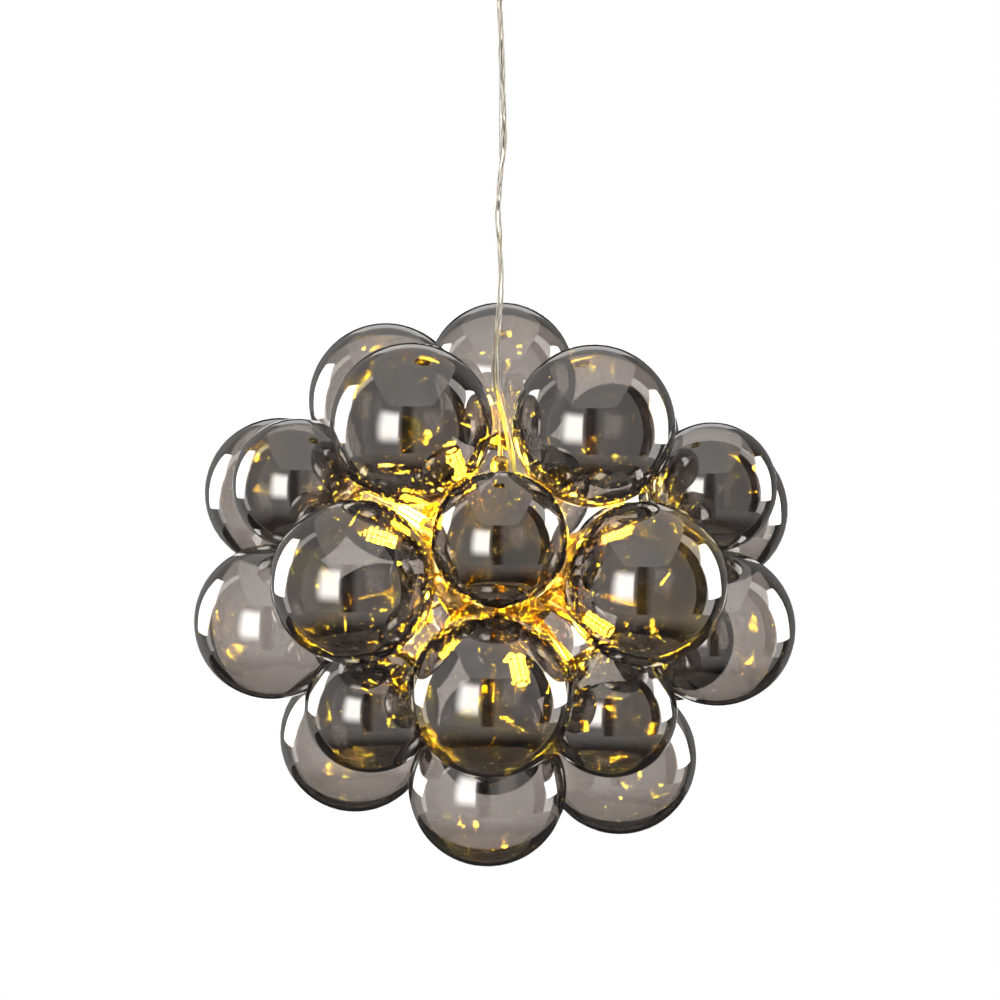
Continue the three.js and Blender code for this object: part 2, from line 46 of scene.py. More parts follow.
# The object's own sizes, in millimetres. Most are those of the part's source. First the radii
LARGE_BALL = 65.0
SMALL_BALL = 53.5
NECK = 9.5  # the hole in a ball
ARM = 2.2  # the rod that carries a ball
SEAT = 12.0  # the flange that a ball's neck sits on
HUB = 14.0  # the ring that joins the arms of one height
CORE_RADIUS = 57.0
BOSS = 7.8  # the flat round spot of the core where an arm comes out
ROD = 5.0  # the threaded tube through the core
STEM = 8.0  # the domed tube above the core
NUT = 10.5  # the round nut under the core
TUBE = 8.0  # a lamp tube
BULB = 7.5
STICK = 5.5  # the stick that carries a bulb's LEDs
COLLAR = 6.4  # the stick's foot
SLEEVE_BORE = 6.75
END_LED = 3.6
CABLE = 2.6
STRAND = 0.36
WIRE = 0.5
CUP = 55.0  # the ceiling cup
CUP_TUBE = 5.0  # the threaded tube that holds the cup up
CUP_TUBE_BORE = 3.6
CUP_NUT = 10.0
GRIP = 11.5  # the cord grip
GRIP_BORE = 9.0
RING = 8.5  # the soft ring in the grip
RING_BORE = 6.85

# Lengths, thicknesses and gaps
CLEARANCE = 0.3
GLASS_WALL = 1.4
POLE_EXTRA = 1.0  # how much thicker a ball is at its far pole than at its neck
PACKING = 66.2  # the balls' places are shares of this
SEAT_THICKNESS = 1.6
CLIP_LENGTH = 8.0
ARM_ROOT = 11.0  # from the stem's middle to where an arm starts in its hub
HUB_EDGE = 0.6
CORE_WALL = 1.5
STEM_TOP = 97.0  # from the middle of the core
TUBE_WALL = 0.8
TUBE_REACH = 84.0  # from the middle of the core
SOCKET_INSET = 1.5
BULB_LENGTH = 43.0
STICK_LENGTH = 35.2
FOOT = (9.4, 4.4, 8.0)  # width, thickness and depth of a bulb's foot in its socket
FIRST_ROW = 8.5  # from a bulb's base to the middle of its first LEDs
CORD_TOP = 488  # where the cords leave the grip, from the middle of the core
CABLE_WAIST = 2.0  # the cable's smallest half width
CABLE_TURN = 130.0  # in which its two cores go once round each other
WIRE_TURN = 20.0  # in which the wire's sides go round once
WIRE_DEPTH = 5.7  # how deep the wire goes into the stem
CUP_LOW = -44.5  # the underside of the cup, from the ceiling
CUP_WALL = 1.2
CUP_NUT_HEIGHT = 6.0
THREAD_TOP = -2.8  # from the ceiling
THREAD_LENGTH = 54.0
THREAD_DEPTH = 0.28
THREAD_TURNS = 54
RING_MIDDLE = -66.6  # from the ceiling

# How many sides the turned pieces have
BALL_SIDES = 72
BALL_STEPS = 44  # from pole to neck
CORE_SIDES = 96
CUP_SIDES = 128
PART_SIDES = 48
TUBE_SIDES = 40
ARM_SIDES = 32
STICK_SIDES = 24
END_LED_SIDES = 16

# Size, azimuth and elevation in degrees, and reach as a share of the packing radius
BALLS = {
    "top": [("L", -34.5, 49, 2.86), ("L", 36, 48, 2.88), ("L", 179.5, 51, 2.81), ("L", -106, 54.5, 2.59)],
    "belt": [("S", 0, 20.5, 2.81), ("L", 36, 7.5, 2.96), ("S", 75.5, 24, 2.97), ("L", 110.5, 10.5, 3.01),
             ("S", 144, 25.5, 3.01), ("S", 171.5, 7.5, 3), ("L", -152.5, 10.5, 2.92), ("L", -111, 14, 3.16),
             ("S", -71.5, 26, 2.92), ("L", -36.5, 8, 2.96)],
    "lower": [("L", -2, -16.5, 2.97), ("S", 36, -30, 2.66), ("L", 78, -12.5, 2.86), ("S", 116, -25.5, 2.84),
              ("S", 145.5, -9, 3.16), ("L", 173.5, -29.5, 3.22), ("L", -144, -28, 3),
              ("L", -82.5, -11.5, 2.96), ("S", -42, -29, 2.69)],
    "bottom": [("L", -6, -59, 2.83), ("L", 76.5, -56.5, 2.85), ("S", -175, -65, 2.84),
               ("L", -102.5, -50.5, 3.03)],
}
BALL_RADIUS = {"L": LARGE_BALL, "S": SMALL_BALL}
# The lower and upper face of each hub ring, from the middle of the core
HUBS = {"top": (11.5, 22), "belt": (1, 8), "lower": (-10, -3.2), "bottom": (-31, -14.5)}
# Azimuth and elevation of each lamp tube
LAMPS = [(-91, 16.5), (93, 19.5), (-55, 66), (-130, 17.5), (56, -21), (12.5, -41), (-161.5, -21.5),
         (-135.5, -47)]

# The cable's route, in millimetres from the middle of the core
CABLE_ROUTE = [
    (0, -3.5, CORD_TOP), (0, -3.5, 472), (1.5, -3.5, 430), (2.7, -3.5, 396), (3.4, -3.5, 363),
    (1.6, -3.5, 340), (-0.6, -3.5, 318), (-1.4, -3.5, 299), (0, -3.5, 277), (1, -3.5, 248),
    (0.4, -3.5, 228), (-2.2, -3.5, 202), (-3.6, -3.5, 180), (-2.4, -3.5, 154), (2.7, -4.4, 133),
    (7.2, -5, 113), (10.8, -4.2, 95), (12.9, -2, 76), (13.5, 0, 60), (13.5, 0, 50), (13.5, 0, 40),
]

# Each silver strand in a core of the cable: how far it lies from the cable's middle, and its angle in radians
STRANDS = ((0.7, 0.0), (1.45, 0.5), (1.45, -0.5), (1.4, 0.0), (2.05, 0.0))


def towards(azimuth, elevation):
    """The unit vector of a direction: azimuth 0 is the front, 90 the right, elevation 90 up."""
    a, e = math.radians(azimuth), math.radians(elevation)
    return Vector((math.sin(a) * math.cos(e), -math.cos(a) * math.cos(e), math.sin(e)))


def aimed(direction, centre=CORE):
    """The matrix that stands a piece made along +Z in millimetres on a line from the core."""
    turn = UP.rotation_difference(direction).to_matrix().to_4x4()
    return Matrix.Translation(centre) @ turn @ Matrix.Scale(MM, 4)


# What places a piece made in millimetres from the ceiling, and one made from the middle of the core
FROM_CEILING = Matrix.Scale(MM, 4)
FROM_CORE = Matrix.Translation(CORE) @ FROM_CEILING


# Camera: where it stands from the middle of the core, how far it looks down, and its lens on a 36 mm frame
CAMERA_PLACE = Vector((0.24, -2286.2, 545.6)) * MM
CAMERA_TILT = 12
LENS = 100.38
FRAME_WIDTH = 36
scene = bpy.context.scene
camera = bpy.data.objects.new("camera", bpy.data.cameras.new("camera"))
scene.collection.objects.link(camera)
camera.location = CORE + CAMERA_PLACE
camera.rotation_euler = (math.radians(90 - CAMERA_TILT), 0, 0)
camera.data.sensor_width = FRAME_WIDTH
camera.data.lens = LENS
camera.data.clip_end = 50
scene.camera = camera


# Materials
def linear(code):
    """A colour written in hex as linear values."""
    parts = [int(code[i:i + 2], 16) / 255 for i in (0, 2, 4)]
    return tuple(p / 12.92 if p <= 0.04045 else ((p + 0.055) / 1.055) ** 2.4 for p in parts) + (1.0,)


def add_node(tree, kind, settings=None, values=None, links=None):
    """Adds a node, with its settings, the values of its sockets and the links into them."""
    made = tree.nodes.new(kind)
    for name, value in (settings or {}).items():
        setattr(made, name, value)
    for socket, value in (values or {}).items():
        made.inputs[socket].default_value = value
    for socket, source in (links or {}).items():
        tree.links.new(source, made.inputs[socket])
    return made


def per_metre(size):
    """The scale of a pattern whose grains or waves are of a size in millimetres."""
    return 1000.0 / size


def new_material(name):
    """An empty material and its tree."""
    made = bpy.data.materials.new(name)
    made.use_nodes = True
    made.node_tree.nodes.clear()
    return made, made.node_tree


def finished(made, tree, values, links=None, depth=None):
    """Closes a material with its one shader. depth is a node for what the light meets inside the piece."""
    shader = add_node(tree, "ShaderNodeBsdfPrincipled", values=values, links=links)
    closed = {"Surface": shader.outputs["BSDF"]}
    if depth:
        closed["Volume"] = depth.outputs["Volume"]
    add_node(tree, "ShaderNodeOutputMaterial", links=closed)
    return made


def mirrored_glass():
    # Soda glass, blown in a mould and coated with vaporised metal: a smoky mirror that can be seen through,
    # and that goes dark at its edge, where the light runs along the wall. The wall rolls gently, about 30 mm
    # from crest to crest, and the smoke is in the depth of the glass.
    made, tree = new_material("half_mirrored_smoke_glass")
    place = add_node(tree, "ShaderNodeTexCoord")
    waves = add_node(tree, "ShaderNodeTexNoise",
                     values={"Scale": per_metre(30), "Detail": 1.0, "Roughness": 0.4},
                     links={"Vector": place.outputs["Object"]})
    bump = add_node(tree, "ShaderNodeBump", values={"Strength": 0.05, "Distance": 0.0008},
                    links={"Height": waves.outputs["Fac"]})
    smoke = add_node(tree, "ShaderNodeVolumeAbsorption", values={"Color": linear("9A8270"), "Density": 240.0})
    return finished(made, tree, {
        "Base Color": linear("DCDBDA"), "Metallic": 0.25, "Roughness": 0.0, "IOR": 1.5,
        "Transmission Weight": 1.0,
    }, {"Normal": bump.outputs["Normal"]}, smoke)


def plated_gold():
    # Brass, turned or drawn, polished, gold-plated and lacquered: a warm mirror softened by polishing marks.
    # The marks are drawn about a millimetre wide, because real ones are too fine to show. The tone drifts
    # over some 17 mm, as the plating's thickness does.
    made, tree = new_material("plated_gold")
    place = add_node(tree, "ShaderNodeTexCoord")
    marks = add_node(tree, "ShaderNodeTexNoise",
                     values={"Scale": per_metre(1.1), "Detail": 3.0, "Roughness": 0.6},
                     links={"Vector": place.outputs["Object"]})
    clouds = add_node(tree, "ShaderNodeTexNoise", values={"Scale": per_metre(17), "Detail": 2.0},
                      links={"Vector": place.outputs["Object"]})
    tone = add_node(tree, "ShaderNodeMix", {"data_type": "RGBA"},
                    {"A": linear("EACB76"), "B": linear("F3D788")}, {"Factor": clouds.outputs["Fac"]})
    rough = add_node(tree, "ShaderNodeMapRange", values={"To Min": 0.16, "To Max": 0.3},
                     links={"Value": marks.outputs["Fac"]})
    bump = add_node(tree, "ShaderNodeBump", values={"Strength": 0.08, "Distance": 0.0001},
                    links={"Height": marks.outputs["Fac"]})
    return finished(made, tree, {"Metallic": 1.0}, {
        "Base Color": tone.outputs["Result"], "Roughness": rough.outputs["Result"],
        "Normal": bump.outputs["Normal"],
    })


def plain_metal(name, dark, light, roughness, grain_size, bump_depth):
    """A metal whose tone and polish wander a little. Its grain, whose size is in millimetres, is drawn
    coarser than the real one, which is too fine to show."""
    made, tree = new_material(name)
    place = add_node(tree, "ShaderNodeTexCoord")
    grain = add_node(tree, "ShaderNodeTexNoise",
                     values={"Scale": per_metre(grain_size), "Detail": 4.0, "Roughness": 0.6},
                     links={"Vector": place.outputs["Object"]})
    tone = add_node(tree, "ShaderNodeMix", {"data_type": "RGBA"},
                    {"A": linear(dark), "B": linear(light)}, {"Factor": grain.outputs["Fac"]})
    rough = add_node(tree, "ShaderNodeMapRange",
                     values={"To Min": roughness * 0.7, "To Max": roughness * 1.4},
                     links={"Value": grain.outputs["Fac"]})
    bump = add_node(tree, "ShaderNodeBump", values={"Strength": 0.2, "Distance": bump_depth},
                    links={"Height": grain.outputs["Fac"]})
    return finished(made, tree, {"Metallic": 1.0}, {
        "Base Color": tone.outputs["Result"], "Roughness": rough.outputs["Result"],
        "Normal": bump.outputs["Normal"],
    })


def dull_solid(name, dark, light, roughness, grain_size, bump_depth):
    """A moulded or fired solid with an even grain, whose size is in millimetres. It is drawn coarser than the
    real one, which is too fine to show."""
    made, tree = new_material(name)
    place = add_node(tree, "ShaderNodeTexCoord")
    grain = add_node(tree, "ShaderNodeTexNoise", values={"Scale": per_metre(grain_size), "Detail": 3.0},
                     links={"Vector": place.outputs["Object"]})
    tone = add_node(tree, "ShaderNodeMix", {"data_type": "RGBA"},
                    {"A": linear(dark), "B": linear(light)}, {"Factor": grain.outputs["Fac"]})
    bump = add_node(tree, "ShaderNodeBump", values={"Strength": 0.3, "Distance": bump_depth},
                    links={"Height": grain.outputs["Fac"]})
    return finished(made, tree, {"Roughness": roughness, "IOR": 1.5},
                    {"Base Color": tone.outputs["Result"], "Normal": bump.outputs["Normal"]})


def clear_solid(name, colour, ior, roughness):
    """A clear moulding whose skin ripples a little, 2.5 mm from crest to crest."""
    made, tree = new_material(name)
    place = add_node(tree, "ShaderNodeTexCoord")
    skin = add_node(tree, "ShaderNodeTexNoise", values={"Scale": per_metre(2.5), "Detail": 2.0},
                    links={"Vector": place.outputs["Object"]})
    bump = add_node(tree, "ShaderNodeBump", values={"Strength": 0.1, "Distance": 0.0001},
                    links={"Height": skin.outputs["Fac"]})
    return finished(made, tree, {
        "Base Color": linear(colour), "Roughness": roughness, "IOR": ior, "Transmission Weight": 1.0,
    }, {"Normal": bump.outputs["Normal"]})


def lit_phosphor(name, colours, strength):
    """Yellow phosphor that glows, with a tone that wanders a little over 2 mm."""
    made, tree = new_material(name)
    place = add_node(tree, "ShaderNodeTexCoord")
    spots = add_node(tree, "ShaderNodeTexNoise", values={"Scale": per_metre(2), "Detail": 1.0},
                     links={"Vector": place.outputs["Object"]})
    tone = add_node(tree, "ShaderNodeMix", {"data_type": "RGBA"},
                    {"A": linear(colours[0]), "B": linear(colours[1])}, {"Factor": spots.outputs["Fac"]})
    return finished(made, tree, {
        "Base Color": linear("F2C848"), "Roughness": 0.5, "Emission Strength": strength,
    }, {"Emission Color": tone.outputs["Result"]})


def substrate_painted_glow():
    # Pressed and fired alumina, which carries the LEDs: matt, with a painted golden glow all over that stands
    # in for their light falling on it.
    made, tree = new_material("substrate_painted_glow")
    place = add_node(tree, "ShaderNodeTexCoord")
    spots = add_node(tree, "ShaderNodeTexNoise", values={"Scale": per_metre(1.4), "Detail": 2.0},
                     links={"Vector": place.outputs["Object"]})
    tone = add_node(tree, "ShaderNodeMix", {"data_type": "RGBA"},
                    {"A": linear("FFC028"), "B": linear("FFCC34")}, {"Factor": spots.outputs["Fac"]})
    return finished(made, tree, {"Roughness": 0.5, "Emission Strength": 1.0, "Base Color": linear("8A6428")},
                    {"Emission Color": tone.outputs["Result"]})


GLASS = mirrored_glass()
GOLD = plated_gold()
# Stainless steel, drawn through a die: thin, grey and faintly streaked
STEEL_WIRE = plain_metal("drawn_steel_wire", "8E8E8C", "C9C9C6", 0.3, 0.7, 0.00005)
# Pressed steel sheet, zinc-plated: cool grey with soft flowers of zinc
ZINC_PLATE = plain_metal("zinc_plated_steel", "A3A6A8", "C4C7C8", 0.4, 4.0, 0.00004)
# Fine copper wires, tinned and twisted: silvery, with light that breaks up along them
SILVER_STRAND = plain_metal("tinned_copper_strand", "D2CFC8", "F0EDE6", 0.28, 0.4, 0.00002)
# Phosphor cast over an LED: the light itself, so bright that every glass ball catches it
LED_CHIP = lit_phosphor("lit_led_chip", ("FFD62C", "FFE034"), 700.0)
# The moulded rim of each LED, which leaks a little of its light
LED_PAD = lit_phosphor("lit_phosphor_pad", ("FFB628", "FFC234"), 1.2)
# The stick and foot of each bulb glow with painted light that stands in for the LEDs' light on them
SUBSTRATE = substrate_painted_glow()
# Silicone, cast as a sleeve with a rounded tip: clear, a little soft to the light
CLEAR_TIP = clear_solid("clear_silicone", "FFF6E6", 1.41, 0.02)
# Soft PVC, extruded over the strands: clear and glossy
CLEAR_PVC = clear_solid("clear_pvc", "F2EFE8", 1.5, 0.03)
# Steatite, pressed and fired unglazed: off-white and matt
CERAMIC = dull_solid("fired_ceramic", "DDD6C8", "EFE9DD", 0.55, 0.8, 0.00008)
# Injection-moulded nylon: milky white with a low sheen
NYLON = dull_solid("white_nylon", "DCDCD6", "EDEDE8", 0.45, 0.7, 0.00003)
# Moulded rubber: near black and dull
RUBBER = dull_solid("black_rubber", "1D1C1B", "2A2928", 0.7, 0.6, 0.00005)


# Meshes
def finish_mesh(name, mesh, materials, smooth_angle=40.0):
    """Makes an object of a bmesh, shaded smooth but for its real edges."""
    bmesh.ops.recalc_face_normals(mesh, faces=mesh.faces)
    data = bpy.data.meshes.new(name)
    mesh.to_mesh(data)
    mesh.free()
    data.shade_smooth()
    data.set_sharp_from_angle(angle=math.radians(smooth_angle))
    for one in materials:
        data.materials.append(one)
    made = bpy.data.objects.new(name, data)
    scene.collection.objects.link(made)
    return made


def add_turned(mesh, outline, segments, matrix, material_index=0, wander=None):
    """Adds a turned solid about +Z to a bmesh. The outline has a radius and a height in mm for each point.
    Where it starts and ends off the axis, it closes on itself. wander moves a point before it is placed."""
    rings = []
    for radius, height in outline:
        if radius < 1e-6:
            points = [Vector((0, 0, height))]
        else:
            angles = [2 * math.pi * i / segments for i in range(segments)]
            points = [Vector((radius * math.cos(a), radius * math.sin(a), height)) for a in angles]
        if wander:
            points = [wander(p) for p in points]
        rings.append([mesh.verts.new(matrix @ p) for p in points])
    pairs = list(zip(rings, rings[1:]))
    if len(rings[0]) > 1 and len(rings[-1]) > 1:
        pairs.append((rings[-1], rings[0]))
    for a, b in pairs:
        for i in range(segments):
            j = (i + 1) % segments
            corners = dict.fromkeys((a[i % len(a)], a[j % len(a)], b[j % len(b)], b[i % len(b)]))
            if len(corners) > 2:
                mesh.faces.new(list(corners)).material_index = material_index


def arc_points(centre, radius, start, end, steps):
    """Points of an arc in an outline, by angles from +Z towards the outside, in degrees."""
    made = []
    for i in range(steps + 1):
        angle = math.radians(start + (end - start) * i / steps)
        made.append((centre[0] + radius * math.sin(angle), centre[1] + radius * math.cos(angle)))
    return made


def turned_object(name, outline, material, segments, matrix, smooth_angle=40.0):
    """Makes an object of one turned solid."""
    mesh = bmesh.new()
    add_turned(mesh, outline, segments, matrix)
    return finish_mesh(name, mesh, [material], smooth_angle)


def placed(piece, body, node):
    """Says what a piece rides on, and hides the CAD node that it stands for."""
    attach(piece, body)
    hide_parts(node)


# Cord: the clear cable with its silver strands, and the steel wire
def smooth_route(points, step):
    """A smooth line through the points, with a point about every step, in the same unit."""
    knots = [np.array(p, float) for p in points]
    knots = [2 * knots[0] - knots[1]] + knots + [2 * knots[-1] - knots[-2]]
    line = []
    for a, b, c, d in zip(knots, knots[1:], knots[2:], knots[3:]):
        count = max(1, round(np.linalg.norm(c - b) / step))
        for i in range(count):
            t = i / count
            line.append(0.5 * (2 * b + (c - a) * t + (2 * a - 5 * b + 4 * c - d) * t ** 2
                               + (3 * b - a - 3 * c + d) * t ** 3))
    line.append(knots[-2])
    return [Vector(p) for p in line]


def add_strand(mesh, line, section, turn_length, offset=0.0, offset_angle=0.0, material_index=0):
    """Adds a tube along a line in mm. Its section gives a radius for each angle and turns once in each turn
    length. Its middle runs beside the line by the offset."""
    sides = section["sides"]
    travelled, rings = 0.0, []
    side = Vector((1, 0, 0))
    for i, point in enumerate(line):
        ahead = line[min(i + 1, len(line) - 1)] - line[max(i - 1, 0)]
        ahead.normalize()
        side = (side - ahead * side.dot(ahead)).normalized()
        across = ahead.cross(side)
        if i:
            travelled += (point - line[i - 1]).length
        turn = 2 * math.pi * travelled / turn_length
        beside = turn + offset_angle
        middle = point + offset * (side * math.cos(beside) + across * math.sin(beside))
        ring = []
        for k in range(sides):
            angle = 2 * math.pi * k / sides
            radius = section["radius"](angle)
            where = middle + radius * (side * math.cos(angle + turn) + across * math.sin(angle + turn))
            ring.append(mesh.verts.new(CORE + where * MM))
        rings.append(ring)
    for a, b in zip(rings, rings[1:]):
        for k in range(sides):
            m = (k + 1) % sides
            mesh.faces.new((a[k], a[m], b[m], b[k])).material_index = material_index
    mesh.faces.new(rings[0][::-1]).material_index = material_index
    mesh.faces.new(rings[-1]).material_index = material_index


def round_section(radius, sides):
    """A plain round wire."""
    return {"sides": sides, "radius": lambda angle: radius}


def twin_section(width, waist, sides):
    """Two round cores side by side in one skin, with a waist between them."""
    return {"sides": sides, "radius": lambda angle: waist + (width - waist) * abs(math.cos(angle)) ** 1.5}


route = smooth_route(CABLE_ROUTE, 2.0)
cable_mesh = bmesh.new()
add_strand(cable_mesh, route, twin_section(CABLE - 0.05, CABLE_WAIST, 24), CABLE_TURN)
for core_angle in (0.0, math.pi):
    for offset, angle in STRANDS:
        add_strand(cable_mesh, route, round_section(STRAND, 8), CABLE_TURN, offset, core_angle + angle, 1)
cable = finish_mesh("clear_cable", cable_mesh, [CLEAR_PVC, SILVER_STRAND])
placed(cable, "cluster", "power_cable")
cable_path = [CORE + p * MM for p in route]
cable_length = sum((b - a).length for a, b in zip(cable_path, cable_path[1:]))
tuple(cable_path[0])
[tuple(p) for p in cable_path]

wire_line = smooth_route([(0, 0, CORD_TOP), (0, 0, 290), (0, 0, STEM_TOP - WIRE_DEPTH)], 6.0)
wire_mesh = bmesh.new()
add_strand(wire_mesh, wire_line, round_section(WIRE, 12), WIRE_TURN)
wire = finish_mesh("steel_wire", wire_mesh, [STEEL_WIRE])
placed(wire, "wire", "suspension_wire")
wire_path = [CORE + p * MM for p in wire_line]
tuple(wire_path[0])
[tuple(p) for p in wire_path]


# Glass balls
def ball_outline(radius):
    """A blown shell with its neck down: outside, rounded lip, inside."""
    lip = GLASS_WALL * 0.5
    low = POLE_EXTRA / 2
    inner = radius - GLASS_WALL - low
    opening = 180 - math.degrees(math.asin((NECK + lip) / radius))
    inner_opening = 180 - math.degrees(math.asin((NECK + lip) / inner))
    outside = arc_points((0, 0), radius, 0, opening, BALL_STEPS)
    inside = arc_points((0, -low), inner, inner_opening, 0, BALL_STEPS)
    a, b = outside[-1], inside[0]
    middle = (a[0] + b[0]) / 2
    edge = [(middle - lip * math.sin(math.pi * t), a[1] + (b[1] - a[1]) * t) for t in (0.2, 0.4, 0.6, 0.8)]
    outside[0] = (0.0, radius)
    inside[-1] = (0.0, inner - low)
    return outside + edge + inside


ROLL = 0.0006  # how far a wall moves in or out, as a share of the radius
ROLL_SCALE = 0.03  # waves of about 33 mm


def blown(seed):
    """No two blown balls roll alike: each point moves in or out by a few hundredths of a millimetre."""
    shift = Vector((seed * 7.3, seed * 3.1, seed * 5.7))

    def wander(point):
        return point * (1 + ROLL * noise.noise(point * ROLL_SCALE + shift))
    return wander


count = 0
for group, balls in BALLS.items():
    for number, (size, azimuth, elevation, share) in enumerate(balls, 1):
        direction = towards(azimuth, elevation)
        place = aimed(direction, CORE + direction * share * PACKING * MM)
        count += 1
        mesh = bmesh.new()
        add_turned(mesh, ball_outline(BALL_RADIUS[size]), BALL_SIDES, place, wander=blown(count))
        ball = finish_mesh(f"{group}_glass_{number}", mesh, [GLASS], smooth_angle=60)
        # With shadows, the light in and between the balls would need far more samples
        ball.visible_shadow = False
        placed(ball, "cluster", f"{group}_ball_{number}")


# Ball arms
def arm_outline(size, share, start):
    """Rod, flange with a turned edge, and the springy clip that holds the neck."""
    face = share * PACKING - math.sqrt(BALL_RADIUS[size] ** 2 - NECK ** 2) - CLEARANCE
    back = face - SEAT_THICKNESS
    clip = NECK - 0.6
    tip = face + CLIP_LENGTH
    return [
        (0, start), (ARM, start), (ARM, back - 3.0), (ARM + 0.5, back - 1.6), (ARM + 1.8, back - 0.5),
        (SEAT - 1.5, back), (SEAT - 0.4, back + 0.25), (SEAT - 0.05, back + 0.8), (SEAT - 0.4, face - 0.15),
        (SEAT - 1.0, face), (clip, face), (clip, face + 1.2), (clip - 0.5, face + 2.2), (clip - 0.2, tip - 3),
        (clip - 1.6, tip - 1.2), (ARM + 1.5, tip - 0.3), (0, tip),
    ]


for group, balls in BALLS.items():
    mesh = bmesh.new()
    low, high = HUBS[group]
    hub = [(ROD + CLEARANCE, low), (HUB - HUB_EDGE, low), (HUB, low + HUB_EDGE), (HUB, high - HUB_EDGE),
           (HUB - HUB_EDGE, high), (ROD + CLEARANCE, high)]
    add_turned(mesh, hub, PART_SIDES, FROM_CORE)
    for size, azimuth, elevation, share in balls:
        start = ARM_ROOT / math.cos(math.radians(elevation))
        add_turned(mesh, arm_outline(size, share, start), ARM_SIDES, aimed(towards(azimuth, elevation)))
    arms = finish_mesh(f"{group}_gold_arms", mesh, [GOLD])
    placed(arms, "cluster", f"{group}_ball_arms")


# Core: two half shells with brazed lamp tubes, and a flat boss where each arm comes out
def shell_outline(upper):
    """Half of the hollow ball, with the stem's hole at its pole and a turned edge at the seam."""
    sign = 1 if upper else -1
    hole = ROD + CLEARANCE
    inner = CORE_RADIUS - CORE_WALL
    edge = 89.2  # degrees down from the pole
    outside = arc_points((0, 0), CORE_RADIUS, math.degrees(math.asin(hole / CORE_RADIUS)), edge, 32)
    lip = [(CORE_RADIUS - 0.1, 0.35), (CORE_RADIUS - 0.5, 0.15), (inner, 0.15)]
    inside = arc_points((0, 0), inner, edge, math.degrees(math.asin(hole / inner)), 24)
    return [(r, sign * z) for r, z in outside + lip + inside]


def tube_outline():
    """A drawn tube with a rounded mouth and a soft braze bead at its root, open right through."""
    bore = TUBE - TUBE_WALL
    root = CORE_RADIUS - 1.2
    return [
        (bore, root), (TUBE + 1.6, root), (TUBE + 0.9, CORE_RADIUS - 0.2), (TUBE + 0.3, CORE_RADIUS + 0.6),
        (TUBE, CORE_RADIUS + 1.6), (TUBE, TUBE_REACH - 0.25), (TUBE - 0.2, TUBE_REACH),
        (bore + 0.15, TUBE_REACH), (bore, TUBE_REACH - 0.2),
    ]


def boss_outline():
    """The flat spot on the core round an arm, with a turned edge."""
    root = CORE_RADIUS - 1.4
    face = CORE_RADIUS + 0.7
    return [
        (ARM + CLEARANCE, root), (BOSS, root), (BOSS, face - 0.5), (BOSS - 0.15, face - 0.15),
        (BOSS - 0.5, face), (ARM + CLEARANCE, face),
    ]


def core_half(upper):
    """Makes one half shell with its tubes and bosses."""
    name = "upper" if upper else "lower"
    mesh = bmesh.new()
    add_turned(mesh, shell_outline(upper), CORE_SIDES, FROM_CORE)
    for azimuth, elevation in LAMPS:
        if (elevation > 0) == upper:
            add_turned(mesh, tube_outline(), PART_SIDES, aimed(towards(azimuth, elevation)))
    for balls in BALLS.values():
        for _, azimuth, elevation, _ in balls:
            if (elevation > 0) == upper:
                add_turned(mesh, boss_outline(), ARM_SIDES, aimed(towards(azimuth, elevation)))
    shell = finish_mesh(f"core_{name}_gold", mesh, [GOLD])
    placed(shell, "cluster", f"core_{name}_shell")


for half in (True, False):
    core_half(half)

rod_end = -CORE_RADIUS - 5.4
stem = turned_object("stem_gold", [
    (0, STEM_TOP), (STEM - 5.8, STEM_TOP), (STEM - 3.8, STEM_TOP - 0.5), (STEM - 1.8, STEM_TOP - 1.7),
    (STEM - 0.6, STEM_TOP - 3.3), (STEM, STEM_TOP - 5.4), (STEM, CORE_RADIUS + 2.0),
    (STEM + 0.8, CORE_RADIUS + 1.4), (STEM + 1.0, CORE_RADIUS - 0.4), (ROD, CORE_RADIUS - 0.8),
    (ROD, rod_end), (0, rod_end),
], GOLD, PART_SIDES, FROM_CORE)
placed(stem, "cluster", "core_stem")

nut_top = -CORE_RADIUS - CLEARANCE
nut = turned_object("bottom_nut_gold", [
    (ROD + CLEARANCE, nut_top), (NUT - 0.6, nut_top), (NUT, nut_top - 0.6), (NUT, nut_top - 4.6),
    (NUT - 0.4, nut_top - 5.9), (NUT - 1.6, nut_top - 7.2), (NUT - 4.0, nut_top - 7.9), (0, nut_top - 8.0),
    (0, nut_top - 6.0), (ROD + CLEARANCE, nut_top - 6.0),
], GOLD, PART_SIDES, FROM_CORE)
placed(nut, "cluster", "core_nut")


